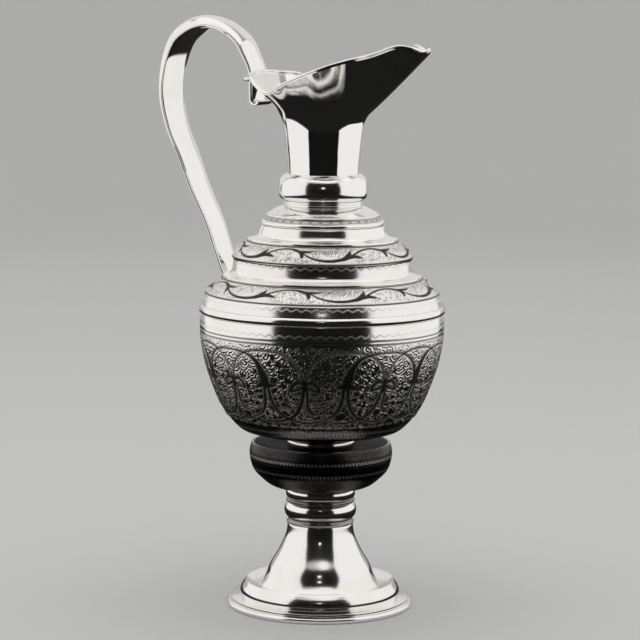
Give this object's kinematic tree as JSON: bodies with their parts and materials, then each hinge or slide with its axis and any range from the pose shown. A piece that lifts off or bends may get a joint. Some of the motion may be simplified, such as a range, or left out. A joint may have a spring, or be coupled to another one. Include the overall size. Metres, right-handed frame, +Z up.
{
  "type": "jug",
  "caption": "Footed silver wine jug with a stepped engraved shoulder, an open beak-shaped mouth for pouring and a strap handle from the mouth to the shoulder.",
  "frame": {"origin": "on the table, under the middle of the jug's box", "axes": "+Z up, +X towards the spout, -X towards the handle"},
  "size_m": [0.156, 0.1232, 0.2949],
  "materials": {
    "polished_silver": "mirror-polished silver",
    "engraved_silver": "engraved and darkened silver"
  },
  "bodies": {
    "root": {"foot_rim": "polished_silver", "foot_base": "polished_silver", "foot_trumpet": "polished_silver", "stem_collar": "polished_silver", "stem_lower_ring": "polished_silver", "stem_middle_ring": "polished_silver", "stem_upper_ring": "polished_silver", "girdle_ring": "polished_silver", "shoulder_upper_tier": "polished_silver", "shoulder_lower_wire": "polished_silver", "shoulder_upper_wire": "polished_silver", "shoulder_dome": "polished_silver", "neck_base_ring": "polished_silver", "neck_collar": "polished_silver", "neck_spout": "polished_silver", "mouth_rim_wire": "polished_silver", "handle_inner_strip": "polished_silver", "handle_shell": "polished_silver", "handle_clasp": "polished_silver", "bowl_bead": "polished_silver", "bowl_cup": "engraved_silver", "cup_cover": "engraved_silver", "bowl_body": "engraved_silver", "shoulder_lower_tier": "engraved_silver", "shoulder_middle_tier": "engraved_silver", "shoulder_dash_band": "engraved_silver"}
  },
  "joints": []
}
